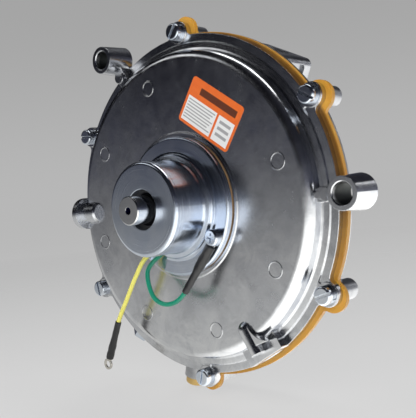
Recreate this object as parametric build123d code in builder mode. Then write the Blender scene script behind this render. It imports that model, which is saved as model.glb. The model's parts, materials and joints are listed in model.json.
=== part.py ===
from build123d import *
import math
import os

# Low-pressure gas demand regulator with an electric primer, in millimetres.
# +Y runs along the main axis from the front (primer) to the back (outlet port), +Z is up and
# +X is to the right. The origin is the centre of the outlet port's mouth, at the back of the body.
# Depths along the axis (names ending in _S) are counted backwards from the diaphragm's
# clamping plane. Angles are about the main axis, in degrees from +X towards +Z.

os.makedirs("parts", exist_ok=True)

# ---------------------------------------------------------------- driving dimensions
CLAMP_Y = -40.0            # Y of the diaphragm's clamping plane (depth 0)

# cover screws (No. 8 machine screws)
SCREW_CIRCLE_R = 88.0
SCREW_COUNT = 6
SCREW_START_ANGLE = 30
SCREW_SHANK_R = 2.08
SCREW_HOLE_R = 2.3
SCREW_HEAD_R = 4.3
SCREW_HEAD_H = 2.9
SCREW_SEAT_S = -7.2        # front of the cover's raised screw seats
LOCK_WASHER_T = 1.5
SCREW_HEAD_BACK_S = SCREW_SEAT_S - LOCK_WASHER_T

# cover, rim and body
COVER_FACE_S = -15.4       # flat front face of the cover
COVER_HUB_S = -15.9        # raised middle of that face
COVER_WALL = 2.6
COVER_INSIDE_S = COVER_FACE_S + COVER_WALL
COVER_DOME_R = 77.8
COVER_FLANGE_R = 85.9
COVER_FLANGE_FRONT_S = -6.5
COVER_EAR_R = 5.8
STEM_HOLE_R = 8.3
RIM_FRONT_S = -3.2         # cover and diaphragm meet here
RIM_BACK_S = -0.8          # diaphragm and body meet here
FLANGE_INNER_R = 76.5
BODY_FLANGE_R = 87.0
BODY_FLANGE_BACK_S = 2.4
BODY_BACK_S = 34.0
BODY_INSIDE_S = 31.0
BODY_EAR_R = 5.3

# mounting posts and vent of the cover
POST_CIRCLE_R = 95.0
POST_FRONT_S = -18.7
POST_BACK_S = -3.2
POST_BORE_R = 4.8
POST_ANGLES = (0.0, 120.0)
VENT_ANGLE = 180
VENT_S = -14.1
BLOCK_ANGLE = -60          # boss at the cover's lower right

# ports of the body
OUTLET_BORE_R = 12.05      # 3/4 in taper pipe thread, drawn at its minor radius
OUTLET_BACK_S = -CLAMP_Y   # mouth on the origin plane
INLET_BORE_R = 9.13        # 1/2 in taper pipe thread, drawn at its minor radius
INLET_ANGLE = 63.0
INLET_FACE_R = 84.0
INLET_AXIS_S = 20.0
PLUG_S = 13.4
DRAIN = (-106.0, 99.0)     # angle, radius of the boss face
TEST = (-133.0, 98.0)

# diaphragm
DIAPHRAGM_R = 86.9         # moulded outline, set a little to the right and down
DIAPHRAGM_SHIFT = (1.4, -0.4)
MEMBRANE_FRONT_S = -2.3
MEMBRANE_BACK_S = -1.5
PLATE_FRONT_S = -3.4       # front of the front plate
STUD_HOLE_R = 3.05

# valve, laid out along the inlet's radius
LEVER_PIVOT_R = 38.0
LEVER_FRONT_S = 9.0
LEVER_T = 1.5
LEVER_BACK_S = LEVER_FRONT_S + LEVER_T
PIVOT_S = 12.3
SEAT_R = 50.0              # place of the valve seat on the inlet's radius
SEAT_S = 14.2
SPRING_R = 25.5            # place of the lever spring on the inlet's radius
BRACKET_R = 35.6           # place of the lever bracket on the inlet's radius
BRACKET_SCREW_SPOTS = ((0, 14.2), (0, -14.2))

# primer
PLUNGER_R = 6.85
PLUNGER_FRONT_S = -50.8
GUIDE_BORE_R = PLUNGER_R + 0.07
CAN_R = 22.9
CAN_FRONT_S = -42.3
BASE_R = 34.7
BASE_BACK_S = -16.7
BASE_FRONT_S = -19.9
LEAD_SLOT_ANGLE = -119.0
GROUND_R = 30.9            # place of the ground screw
GROUND_ANGLE = -31.0
GROUND_LUG_BACK_S = -19.92

WIRE_R = 1.15


# ---------------------------------------------------------------- placing helpers
def outward(angle):
    """Unit vector along the radius at the given angle."""
    turn = math.radians(angle)
    return Vector(math.cos(turn), 0, math.sin(turn))


def at(radius, angle, s):
    """Point at a radius, angle and depth."""
    return outward(angle) * radius + Vector(0, CLAMP_Y + s, 0)


def turned(s, angle, radius=0):
    """Plane across the main axis: local x is the radial direction; it faces the front."""
    return Plane(origin=at(radius, angle, s), x_dir=outward(angle), z_dir=(0, -1, 0))


def across(s):
    """Plane across the main axis: local x is +X, local y is +Z; it faces the front."""
    return turned(s, 0)


def by_inlet(s, radius=0):
    """Plane across the main axis, with local x along the inlet's radius."""
    return turned(s, INLET_ANGLE, radius)


def radial(radius, angle, s):
    """Plane facing outwards along a radius: local x is +Y."""
    return Plane(origin=at(radius, angle, s), x_dir=(0, 1, 0), z_dir=outward(angle))


def on_screws(radius=SCREW_CIRCLE_R):
    """One location at the angle of each cover screw."""
    return PolarLocations(radius, SCREW_COUNT, start_angle=SCREW_START_ANGLE)


def section(points):
    """(radius, depth) pairs as points of a half section in the XY plane."""
    return [(radius, CLAMP_Y + s) for radius, s in points]


def corners(radius, s):
    """Vertices of the current half section at a radius and depth."""
    y = CLAMP_Y + s
    return [v for v in vertices() if abs(v.X - radius) < 0.01 and abs(v.Y - y) < 0.01]


def outline_corners(radius, tolerance=0.2, center=(0, 0)):
    """Vertices of the current sketch at a distance from a centre, in the sketch's own plane."""
    return [
        v for v in vertices()
        if abs(math.hypot(v.X - center[0], v.Y - center[1]) - radius) < tolerance
    ]


# Across the inlet's radius, along the lever's pivot pin: local x is +Y.
PIN_PLANE = Plane(
    origin=at(LEVER_PIVOT_R, INLET_ANGLE, PIVOT_S),
    x_dir=(0, 1, 0),
    z_dir=outward(INLET_ANGLE + 90),
)


# ---------------------------------------------------------------- shared shapes
def revolved(profile):
    """Solid of revolution about the main axis from (radius, depth) pairs."""
    with BuildPart() as body:
        with BuildSketch(Plane.XY):
            with BuildLine():
                Polyline(*section(profile), close=True)
            make_face()
        revolve(axis=Axis.Y)
    return body.part


def hex_nut(back_s, corner_r, bore_r, height, edge_chamfer):
    """Nut on the main axis, chamfered on its back face."""
    with BuildPart() as nut:
        with BuildSketch(across(back_s)):
            RegularPolygon(corner_r, 6)
            Circle(bore_r, mode=Mode.SUBTRACT)
        extrude(amount=height)
        chamfer(faces().sort_by(Axis.Y)[-1].outer_wire().edges(), edge_chamfer)
    return nut.part


def coil_spring(pitch, height, radius, front, spring_wire_r):
    """Spring running backwards from the point at its front end."""
    with BuildPart() as spring:
        with BuildLine():
            coil = Helix(
                pitch=pitch, height=height, radius=radius, center=front, direction=(0, 1, 0)
            )
        with BuildSketch(Plane(origin=coil @ 0, z_dir=coil % 0)):
            Circle(spring_wire_r)
        sweep(is_frenet=True)
    return spring.part


# ---------------------------------------------------------------- front cover
def front_cover():
    rim_r = 84.0
    step_r = COVER_DOME_R - 0.6
    inner_r = 75.0
    boss_r, boss_s = 69.5, -14.9    # inner end of the ridge at the lower right
    with BuildPart() as cover:
        with BuildSketch(Plane.XY):
            with BuildLine():
                # radius, depth
                Polyline(*section([
                    (STEM_HOLE_R, COVER_HUB_S), (36.6, COVER_HUB_S), (37.2, COVER_FACE_S),
                    (step_r, COVER_FACE_S), (COVER_DOME_R, -7.9), (78.8, -7.5), (81.7, -7.2),
                    (82.0, COVER_FLANGE_FRONT_S), (rim_r, COVER_FLANGE_FRONT_S),
                    (rim_r, RIM_FRONT_S), (75.8, RIM_FRONT_S), (inner_r, COVER_INSIDE_S),
                    (STEM_HOLE_R, COVER_INSIDE_S),
                ]), close=True)
            make_face()
            fillet(corners(step_r, COVER_FACE_S), 4.6)
            fillet(corners(inner_r, COVER_INSIDE_S), 3.2)
        revolve(axis=Axis.Y)
        # flange outline with screw ears and the webs out to the two mounting posts
        with BuildSketch(across(RIM_FRONT_S)):
            Circle(COVER_FLANGE_R)
            with on_screws():
                Circle(COVER_EAR_R)
            for angle in POST_ANGLES:
                with PolarLocations(88, 1, start_angle=angle):
                    Rectangle(14, 9)
            fillet(outline_corners(COVER_FLANGE_R), 2.6)
            Circle(FLANGE_INNER_R, mode=Mode.SUBTRACT)
        extrude(amount=RIM_FRONT_S - COVER_FLANGE_FRONT_S)
        # raised round seats under the cover screws
        seat_back_s = RIM_FRONT_S - 0.5
        with BuildSketch(across(seat_back_s)):
            with on_screws():
                Circle(5.6)
        extrude(amount=seat_back_s - SCREW_SEAT_S)
        # stiffening webs from the dome wall to each screw seat
        with BuildSketch(across(-6.0)):
            with on_screws(80.6):
                Rectangle(8.0, 5.6)
        extrude(amount=1.1)
        for angle in POST_ANGLES:
            # tapered mounting post
            with BuildSketch(turned(POST_BACK_S, angle, POST_CIRCLE_R)):
                Circle(8.1)
            with BuildSketch(turned(POST_FRONT_S, angle, POST_CIRCLE_R)):
                Circle(7.25)
            loft()
            # web from the post to the dome, its round pad and the ridge over the dome's edge
            with BuildSketch(turned(POST_BACK_S, angle, 83.5)):
                Rectangle(17, 6.4)
            extrude(amount=7.4)
            with BuildSketch(turned(POST_BACK_S, angle, 83.2)):
                Circle(3.1)
            extrude(amount=9.3)
            with BuildSketch(turned(-6.0, angle)):
                with BuildLine():
                    Polyline((73.5, 0), (81.5, 2.4), (81.5, -2.4), close=True)
                make_face()
            extrude(amount=6.2)
        # radial vent boss on the left, tapered at its root and collared at its mouth
        neck_start_r, neck_r = 65.6, 5.95
        with BuildSketch(radial(neck_start_r, VENT_ANGLE, VENT_S)):
            Circle(neck_r)
        extrude(amount=13.3)
        with BuildSketch(radial(64.5, VENT_ANGLE, VENT_S)):
            Circle(4.85)
        with BuildSketch(radial(neck_start_r, VENT_ANGLE, VENT_S)):
            Circle(neck_r)
        loft()
        with BuildSketch(radial(76.2, VENT_ANGLE, VENT_S)):
            Circle(8.95)
        extrude(amount=3.4)
        # boss at the lower right: round-ended radial ridge, stepped block and curved gusset
        with BuildSketch(radial(boss_r, BLOCK_ANGLE, boss_s)):
            Circle(3.5)
        extrude(amount=13)
        with Locations(at(boss_r, BLOCK_ANGLE, boss_s)):
            Sphere(3.5)
        # radial place of the centre, radial size, width, height
        for center_r, depth, width, height in ((81.2, 8.6, 22.4, 8.2), (79.6, 6.0, 20.4, 11.4)):
            with BuildSketch(turned(RIM_FRONT_S, BLOCK_ANGLE, center_r)):
                Rectangle(depth, width)
                fillet(vertices(), 0.8)
            extrude(amount=height)
        with BuildSketch(turned(-12.5, BLOCK_ANGLE)):
            with BuildLine():
                Line((boss_r, 0), (78.5, 0))
                Line((78.5, 0), (80.2, 10.8))
                ThreePointArc((80.2, 10.8), (76.2, 5.6), (boss_r, 3.2))
                Line((boss_r, 3.2), (boss_r, 0))
            make_face()
        extrude(amount=4.6)
        # keep the inside of the dome clear of every boss
        with BuildSketch(Plane.XY):
            with BuildLine():
                Polyline(*section([
                    (0, RIM_FRONT_S), (75.8, RIM_FRONT_S), (75.1, -10.0),
                    (71.6, COVER_INSIDE_S), (0, COVER_INSIDE_S),
                ]), close=True)
            make_face()
        revolve(axis=Axis.Y, mode=Mode.SUBTRACT)
        # round ejector-pin marks on the face
        with BuildSketch(across(COVER_FACE_S + 0.05)):
            with PolarLocations(64.0, 7, start_angle=105, angular_range=315):
                Circle(4.0)
                Circle(3.5, mode=Mode.SUBTRACT)
        extrude(amount=0.22)
        # screw clearance holes and post bores
        with BuildSketch(across(0)):
            with on_screws():
                Circle(SCREW_HOLE_R)
        extrude(amount=9, mode=Mode.SUBTRACT)
        with BuildSketch(across(0)):
            for angle in POST_ANGLES:
                with PolarLocations(POST_CIRCLE_R, 1, start_angle=angle):
                    Circle(POST_BORE_R)
        extrude(amount=20, mode=Mode.SUBTRACT)
        # vent: a port for the hose fitting, then a narrower passage into the dome
        for start_r, bore_r in ((74.5, 4.3), (69.5, 3.4)):
            with BuildSketch(radial(start_r, VENT_ANGLE, VENT_S)):
                Circle(bore_r)
            extrude(amount=8, mode=Mode.SUBTRACT)
        # hole for the primer's stem
        with BuildSketch(across(-10)):
            Circle(STEM_HOLE_R)
        extrude(amount=8, mode=Mode.SUBTRACT)
        post_front_y = CLAMP_Y + POST_FRONT_S
        post_mouths = edges().filter_by(GeomType.CIRCLE).filter_by(
            lambda e: abs(e.radius - POST_BORE_R) < 0.01
            and abs(e.arc_center.Y - post_front_y) < 0.05
        )
        chamfer(post_mouths, 0.4)
    return cover.part


# ---------------------------------------------------------------- rear body
def rear_body():
    inner_r, outer_r = 64.0, 67.2    # edges of the back wall
    block_len = 19.5                 # radial length of the inlet block
    boss_start_r = 66.0
    with BuildPart() as body:
        with BuildSketch(Plane.XY):
            with BuildLine():
                # radius, depth
                Polyline(*section([
                    (0, BODY_INSIDE_S), (inner_r, BODY_INSIDE_S), (75.2, 6.0),
                    (75.6, RIM_BACK_S), (86.0, RIM_BACK_S), (86.0, BODY_FLANGE_BACK_S),
                    (79.2, BODY_FLANGE_BACK_S), (78.2, 5.0), (outer_r, BODY_BACK_S),
                    (0, BODY_BACK_S),
                ]), close=True)
            make_face()
            fillet(corners(inner_r, BODY_INSIDE_S), 5.0)
            fillet(corners(outer_r, BODY_BACK_S), 6.0)
        revolve(axis=Axis.Y)
        # flange with screw ears
        with BuildSketch(across(BODY_FLANGE_BACK_S)):
            Circle(BODY_FLANGE_R)
            with on_screws():
                Circle(BODY_EAR_R)
            fillet(outline_corners(BODY_FLANGE_R), 2.2)
            Circle(FLANGE_INNER_R, mode=Mode.SUBTRACT)
        extrude(amount=BODY_FLANGE_BACK_S - RIM_BACK_S)
        # screw posts behind the flange, tied to the bowl by ribs
        with BuildSketch(across(11.4)):
            with on_screws():
                Circle(4.9)
        extrude(amount=9.2)
        with BuildSketch(across(10.4)):
            with on_screws(80.5):
                Rectangle(12.5, 3.4)
        extrude(amount=8.2)
        # outlet boss outside and inside the back wall
        for back_s, boss_r in ((OUTLET_BACK_S, 18.6), (32.0, 16.2)):
            with BuildSketch(across(back_s)):
                Circle(boss_r)
            extrude(amount=8.0)
        # radial ribs on the back wall
        with BuildSketch(across(36.2)):
            with PolarLocations(38.0, 6, start_angle=0):
                Rectangle(44.0, 3.2)
        extrude(amount=3.2)
        # inlet block, rounded at its outer corners
        with BuildSketch(by_inlet(33.2)):
            with Locations((INLET_FACE_R - block_len / 2, 0)):
                Rectangle(block_len, 34.2)
            fillet([v for v in vertices() if math.hypot(v.X, v.Y) > 80], 4.0)
        extrude(amount=27.3)
        # duct inside the chamber
        with BuildSketch(by_inlet(31.5, 59.5)):
            Rectangle(37.0, 20.5)
            fillet(vertices(), 4.0)
        extrude(amount=14.8)
        # pedestal of the lever bracket and seat of the spring adjuster
        with BuildSketch(by_inlet(31.5, BRACKET_R)):
            Rectangle(10.8, 36.0)
            fillet(vertices(), 2.0)
        extrude(amount=12.8)
        with BuildSketch(by_inlet(37.0, SPRING_R)):
            Circle(8.0)
        extrude(amount=8.0)
        # drain and test bosses at the bottom left
        for angle, face_r in (DRAIN, TEST):
            with BuildSketch(radial(boss_start_r, angle, PLUG_S)):
                Circle(6.6)
            extrude(amount=face_r - boss_start_r)
        # screw holes
        with BuildSketch(across(-2)):
            with on_screws():
                Circle(SCREW_SHANK_R + 0.02)
        extrude(amount=-22, mode=Mode.SUBTRACT)
        # outlet bore
        with BuildSketch(across(0)):
            Circle(OUTLET_BORE_R)
        extrude(amount=-60, mode=Mode.SUBTRACT)
        # inlet bore, the passage inwards from it and the bore for the valve seat
        with BuildSketch(radial(67.0, INLET_ANGLE, INLET_AXIS_S)):
            Circle(INLET_BORE_R)
        extrude(amount=30, mode=Mode.SUBTRACT)
        with BuildSketch(radial(47.0, INLET_ANGLE, 22.2)):
            Circle(4.9)
        extrude(amount=22, mode=Mode.SUBTRACT)
        with BuildSketch(by_inlet(16.0, SEAT_R)):
            Circle(6.5)
        extrude(amount=-6.2, mode=Mode.SUBTRACT)
        # spring adjuster: thread, then the wider cap bore
        for start_s, bore_r, depth in ((25, 3.03, 14), (33.0, 5.2, 6)):
            with BuildSketch(by_inlet(start_s, SPRING_R)):
                Circle(bore_r)
            extrude(amount=-depth, mode=Mode.SUBTRACT)
        # bracket screw holes
        with BuildSketch(by_inlet(18.0, BRACKET_R)):
            with Locations(*BRACKET_SCREW_SPOTS):
                Circle(1.52)
        extrude(amount=-8, mode=Mode.SUBTRACT)
        # drain and test bores
        for angle, _ in (DRAIN, TEST):
            with BuildSketch(radial(70.0, angle, PLUG_S)):
                Circle(4.3)
            extrude(amount=32, mode=Mode.SUBTRACT)
        # recess on the lower right side of the inlet block; local y is -Y
        block_side = Plane(
            origin=at(0, 0, 0), x_dir=outward(INLET_ANGLE), z_dir=outward(INLET_ANGLE - 90)
        )
        with BuildSketch(block_side.offset(15.6)):
            with Locations((76.5, -20.5)):
                RectangleRounded(9.0, 15.0, 2.0)
        extrude(amount=4, mode=Mode.SUBTRACT)
    return body.part


# ---------------------------------------------------------------- diaphragm and centre hardware
def diaphragm():
    with BuildPart() as sheet:
        # clamped rim with an ear at every screw
        with BuildSketch(across(RIM_BACK_S)):
            with Locations(DIAPHRAGM_SHIFT):
                Circle(DIAPHRAGM_R)
            # these ears are turned slightly clockwise of the screws, seen from the front
            for angle in (30, 90, 270, 330):
                with PolarLocations(89.0, 1, start_angle=angle - 0.9):
                    Circle(7.2)
            # the two left ears are trimmed behind the cover's own ears
            for angle in (150, 210):
                with PolarLocations(SCREW_CIRCLE_R, 1, start_angle=angle):
                    Circle(5.6)
            fillet(outline_corners(DIAPHRAGM_R, 0.05, DIAPHRAGM_SHIFT), 2.2)
            Circle(74.6, mode=Mode.SUBTRACT)
        extrude(amount=RIM_BACK_S - RIM_FRONT_S)
        # thin membrane with one rolled convolution
        edge_r, crest_r = 74.8, 63.5
        front_flat = (53.0, MEMBRANE_FRONT_S)
        back_flat = (54.0, MEMBRANE_BACK_S)
        front_hole = (STUD_HOLE_R, MEMBRANE_FRONT_S)
        back_hole = (STUD_HOLE_R, MEMBRANE_BACK_S)
        front_edge = (edge_r, MEMBRANE_FRONT_S)
        back_edge = (edge_r, MEMBRANE_BACK_S)
        with BuildSketch(Plane.XY):
            with BuildLine():
                Line(*section([front_hole, front_flat]))
                ThreePointArc(*section([front_flat, (crest_r, -7.6), front_edge]))
                Line(*section([front_edge, back_edge]))
                ThreePointArc(*section([back_edge, (crest_r, -6.75), back_flat]))
                Line(*section([back_flat, back_hole]))
                Line(*section([back_hole, front_hole]))
            make_face()
        revolve(axis=Axis.Y)
        with BuildSketch(across(6)):
            with on_screws():
                Circle(SCREW_HOLE_R)
        extrude(amount=12, mode=Mode.SUBTRACT)
    return sheet.part


def diaphragm_plate_front():
    with BuildPart() as plate:
        with BuildSketch(Plane.XY):
            with BuildLine():
                Polyline(*section([
                    (STUD_HOLE_R, MEMBRANE_FRONT_S), (46.0, MEMBRANE_FRONT_S), (48.2, -4.0),
                    (48.2, -5.0), (47.2, -5.0), (47.2, -4.4), (45.4, PLATE_FRONT_S),
                    (STUD_HOLE_R, PLATE_FRONT_S),
                ]), close=True)
            make_face()
        revolve(axis=Axis.Y)
        # six raised rings
        with BuildSketch(across(PLATE_FRONT_S)):
            with PolarLocations(26.0, 6):
                Circle(4.5)
                Circle(3.9, mode=Mode.SUBTRACT)
        extrude(amount=0.4)
    return plate.part


def diaphragm_plate_rear():
    return revolved([
        (STUD_HOLE_R, MEMBRANE_BACK_S), (43.0, MEMBRANE_BACK_S), (44.6, -0.3), (44.2, 0.5),
        (43.2, 0.2), (42.2, -0.5), (STUD_HOLE_R, -0.5),
    ])


def diaphragm_stud():
    """The front head takes the push pin; the round rear end works the lever."""
    shank_r = 3.0
    front_s = -7.3
    tip_s = LEVER_FRONT_S - 0.02
    round_s = tip_s - shank_r       # centre of the round end
    nose = math.radians(45)
    nose_mid = (shank_r * math.sin(nose), round_s + shank_r * math.cos(nose))
    with BuildPart() as stud:
        with BuildSketch(Plane.XY):
            with BuildLine():
                Polyline(*section([
                    (0, front_s), (5.2, front_s), (6.0, -6.5), (6.0, PLATE_FRONT_S),
                    (shank_r, PLATE_FRONT_S), (shank_r, round_s),
                ]))
                ThreePointArc(*section([(shank_r, round_s), nose_mid, (0, tip_s)]))
                Line(*section([(0, tip_s), (0, front_s)]))
            make_face()
        revolve(axis=Axis.Y)
    return stud.part


def diaphragm_stud_nut():
    return hex_nut(back_s=2.7, corner_r=5.5, bore_r=3.02, height=3.2, edge_chamfer=0.4)


# ---------------------------------------------------------------- valve: seat, lever, bracket
def inlet_seat():
    bore_r, stem_r, flange_r, back_s = 3.9, 6.48, 8.0, 22.0
    seat = revolved([
        (bore_r, SEAT_S), (4.6, SEAT_S), (5.4, SEAT_S + 1.2), (flange_r, SEAT_S + 1.3),
        (flange_r, SEAT_S + 2.48), (stem_r, SEAT_S + 2.5), (stem_r, back_s), (bore_r, back_s),
    ])
    return seat.moved(Location(outward(INLET_ANGLE) * SEAT_R))


def valve_lever():
    ear_reach = 2.9    # how far the ears run back past the pin's axis, less their overlap
    with BuildPart() as lever:
        with BuildSketch(by_inlet(LEVER_BACK_S)):
            with BuildLine():
                # place on the inlet's radius, place across it
                Polyline(
                    (-5.0, -4.2), (26.0, -5.2), (34.0, -6.2), (43.0, -6.2), (46.0, -7.0),
                    (54.5, -7.0), (57.5, -4.0), (57.5, 4.0), (54.5, 7.0), (46.0, 7.0),
                    (43.0, 6.2), (34.0, 6.2), (26.0, 5.2), (-5.0, 4.2), close=True,
                )
            make_face()
            fillet(vertices().group_by(Axis.X)[0], 1.0)
            with Locations((SEAT_R, 0)):
                Circle(1.53, mode=Mode.SUBTRACT)
        extrude(amount=LEVER_T)
        # two ears turned back around the pivot pin
        with BuildSketch(by_inlet(LEVER_BACK_S - 0.2, LEVER_PIVOT_R)):
            with Locations((0, 5.45), (0, -5.45)):
                Rectangle(6.4, LEVER_T)
        extrude(amount=-(PIVOT_S - LEVER_BACK_S + ear_reach))
        # shallow stiffening bead on the back of the long arm
        with BuildSketch(by_inlet(LEVER_BACK_S - 0.1, 16.0)):
            SlotOverall(11.0, 2.2)
        extrude(amount=-0.6)
        # hole for the pivot pin
        with BuildSketch(PIN_PLANE.offset(-12)):
            Circle(1.56)
        extrude(amount=24, mode=Mode.SUBTRACT)
    return lever.part


def lever_pivot_pin():
    half_len = 10.4
    with BuildPart() as pin:
        with BuildSketch(PIN_PLANE.offset(-half_len)):
            Circle(1.5)
        extrude(amount=2 * half_len)
        chamfer(edges().filter_by(GeomType.CIRCLE), 0.3)
    return pin.part


def lever_bracket():
    with BuildPart() as bracket:
        with BuildSketch(by_inlet(18.7, BRACKET_R)):
            RectangleRounded(9.6, 34.6, 1.6)
        extrude(amount=1.5)
        # two cheeks that carry the pivot pin
        with BuildSketch(by_inlet(17.4, LEVER_PIVOT_R - 1.0)):
            with Locations((0, 8.4), (0, -8.4)):
                Rectangle(6.8, 1.5)
        extrude(amount=7.8)
        with BuildSketch(PIN_PLANE.offset(-12)):
            Circle(1.52)
        extrude(amount=24, mode=Mode.SUBTRACT)
        # screw holes
        with BuildSketch(by_inlet(20, BRACKET_R)):
            with Locations(*BRACKET_SCREW_SPOTS):
                Circle(1.65)
        extrude(amount=6, mode=Mode.SUBTRACT)
    return bracket.part


def bracket_screws():
    head_r = 2.75
    with BuildPart() as screws:
        # shank, then head: back depth, radius, height
        for back_s, radius, height in ((25.0, 1.48, 7.9), (17.18, head_r, 1.8)):
            with BuildSketch(by_inlet(back_s, BRACKET_R)):
                with Locations(*BRACKET_SCREW_SPOTS):
                    Circle(radius)
            extrude(amount=height)
        head_edges = edges().filter_by(GeomType.CIRCLE).filter_by(
            lambda e: abs(e.radius - head_r) < 0.01
        )
        chamfer(head_edges.sort_by(Axis.Y)[:2], 0.5)
        # driver slots
        with BuildSketch(by_inlet(16.4, BRACKET_R)):
            with Locations(*BRACKET_SCREW_SPOTS):
                Rectangle(0.8, 6.0)
        extrude(amount=2, mode=Mode.SUBTRACT)
    return screws.part


def valve_pad_holder():
    cup_depth = 3.2
    with BuildPart() as holder:
        # cup, open to the back
        with BuildSketch(by_inlet(LEVER_BACK_S + cup_depth, SEAT_R)):
            Circle(7.2)
        extrude(amount=cup_depth)
        with BuildSketch(by_inlet(SEAT_S, SEAT_R)):
            Circle(6.25)
        extrude(amount=2.4, mode=Mode.SUBTRACT)
        # stem through the lever and its head in front
        with BuildSketch(by_inlet(LEVER_BACK_S + 0.2, SEAT_R)):
            Circle(1.5)
        extrude(amount=2.3)
        with BuildSketch(by_inlet(LEVER_FRONT_S, SEAT_R)):
            Circle(2.5)
        extrude(amount=0.7)
    return holder.part


def valve_pad():
    front_s = 11.82
    with BuildPart() as pad:
        with BuildSketch(by_inlet(SEAT_S, SEAT_R)):
            Circle(6.2)
        extrude(amount=SEAT_S - front_s)
    return pad.part


# ---------------------------------------------------------------- lever spring and its adjuster
def lever_spring():
    front = at(SPRING_R, INLET_ANGLE, LEVER_BACK_S + 0.42)
    return coil_spring(pitch=1.9, height=10.4, radius=3.1, front=front, spring_wire_r=0.36)


def spring_seat():
    with BuildPart() as seat:
        # disc, then the pilot in front of it: back depth, radius, height
        for back_s, radius, height in ((23.4, 4.3, 1.4), (22.1, 2.3, 1.6)):
            with BuildSketch(by_inlet(back_s, SPRING_R)):
                Circle(radius)
            extrude(amount=height)
    return seat.part


def adjusting_screw():
    back_s = 31.4
    with BuildPart() as screw:
        with BuildSketch(by_inlet(back_s, SPRING_R)):
            Circle(2.97)
        extrude(amount=8.0)
        chamfer(edges().filter_by(GeomType.CIRCLE), 0.4)
        # driver slot
        with BuildSketch(by_inlet(back_s + 0.1, SPRING_R)):
            Rectangle(8.0, 1.0)
        extrude(amount=1.5, mode=Mode.SUBTRACT)
    return screw.part


def adjuster_cap_washer():
    with BuildPart() as washer:
        with BuildSketch(by_inlet(37.8, SPRING_R)):
            Circle(6.7)
            Circle(5.3, mode=Mode.SUBTRACT)
        extrude(amount=0.8)
    return washer.part


def adjuster_cap():
    back_s = 39.9
    with BuildPart() as cap:
        with BuildSketch(by_inlet(back_s, SPRING_R)):
            Circle(6.7)
        extrude(amount=2.1)
        chamfer(edges().filter_by(GeomType.CIRCLE).sort_by(Axis.Y)[-1], 0.5)
        # plug that fills the cap bore
        with BuildSketch(by_inlet(37.9, SPRING_R)):
            Circle(5.16)
        extrude(amount=4.6)
        # driver slot
        with BuildSketch(by_inlet(back_s + 0.1, SPRING_R)):
            Rectangle(16.0, 1.6)
        extrude(amount=1.2, mode=Mode.SUBTRACT)
    return cap.part


# ---------------------------------------------------------------- fasteners of the body joint
def cover_screws():
    head_front_s = SCREW_HEAD_BACK_S - SCREW_HEAD_H
    head_front_y = CLAMP_Y + head_front_s
    slot_turns = (-62, -38, 24, 70, -15, 48)    # as each screw happened to stop
    with BuildPart() as screws:
        with BuildSketch(across(SCREW_HEAD_BACK_S)):
            with on_screws():
                Circle(SCREW_HEAD_R)
        extrude(amount=SCREW_HEAD_H)
        fillet(
            edges().filter_by(GeomType.CIRCLE).filter_by(
                lambda e: abs(e.arc_center.Y - head_front_y) < 0.01
            ),
            0.9,
        )
        with BuildSketch(across(9.6)):
            with on_screws():
                Circle(SCREW_SHANK_R)
        extrude(amount=18.4)
        for k, turn in enumerate(slot_turns):
            angle = SCREW_START_ANGLE + 360 // SCREW_COUNT * k
            with BuildSketch(across(head_front_s + 1.2)):
                with PolarLocations(SCREW_CIRCLE_R, 1, start_angle=angle):
                    Rectangle(10.0, 1.15, rotation=turn)
            extrude(amount=1.6, mode=Mode.SUBTRACT)
    return screws.part


def lock_washers():
    with BuildPart() as washers:
        with BuildSketch(across(SCREW_SEAT_S)):
            with on_screws():
                Circle(4.15)
                Circle(2.25, mode=Mode.SUBTRACT)
            # slanted split
            with on_screws(SCREW_CIRCLE_R + 3.2):
                Rectangle(2.6, 0.5, rotation=14, mode=Mode.SUBTRACT)
        extrude(amount=LOCK_WASHER_T)
    return washers.part


# ---------------------------------------------------------------- electric primer
def primer_gasket():
    with BuildPart() as gasket:
        with BuildSketch(across(COVER_HUB_S)):
            Circle(34.5)
            Circle(9.0, mode=Mode.SUBTRACT)
        extrude(amount=COVER_HUB_S - BASE_BACK_S)
    return gasket.part


def primer_base():
    bore_r = 8.1
    with BuildPart() as base:
        with BuildSketch(Plane.XY):
            with BuildLine():
                Polyline(*section([
                    (bore_r, BASE_BACK_S), (BASE_R, BASE_BACK_S), (BASE_R, BASE_FRONT_S),
                    (bore_r, BASE_FRONT_S),
                ]), close=True)
            make_face()
            fillet(corners(BASE_R, BASE_FRONT_S), 1.3)
        revolve(axis=Axis.Y)
        # lead outlet slot
        with BuildSketch(turned(-17.5, LEAD_SLOT_ANGLE, 29.0)):
            Rectangle(19.0, 11.0)
        extrude(amount=4.0, mode=Mode.SUBTRACT)
        # ground screw hole
        with BuildSketch(turned(-17.0, GROUND_ANGLE, GROUND_R)):
            Circle(1.52)
        extrude(amount=8.0, both=True, mode=Mode.SUBTRACT)
    return base.part


def primer_can():
    inner_r, front_s = CAN_R - 1.4, -39.3
    with BuildPart() as can:
        with BuildSketch(Plane.XY):
            with BuildLine():
                # radius, depth
                Polyline(*section([
                    (inner_r, front_s), (CAN_R, front_s), (CAN_R, -24.4), (CAN_R + 0.5, -23.1),
                    (25.3, -22.5), (25.6, -21.6), (26.1, -21.0), (27.3, -20.8),
                    (27.3, BASE_FRONT_S), (24.2, BASE_FRONT_S), (24.0, -21.2), (inner_r, -22.6),
                ]), close=True)
            make_face()
        revolve(axis=Axis.Y)
        # notch for the leads
        with BuildSketch(turned(-19.0, LEAD_SLOT_ANGLE, 24.5)):
            Rectangle(9.0, 11.0)
        extrude(amount=4.4, mode=Mode.SUBTRACT)
    return can.part


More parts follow.
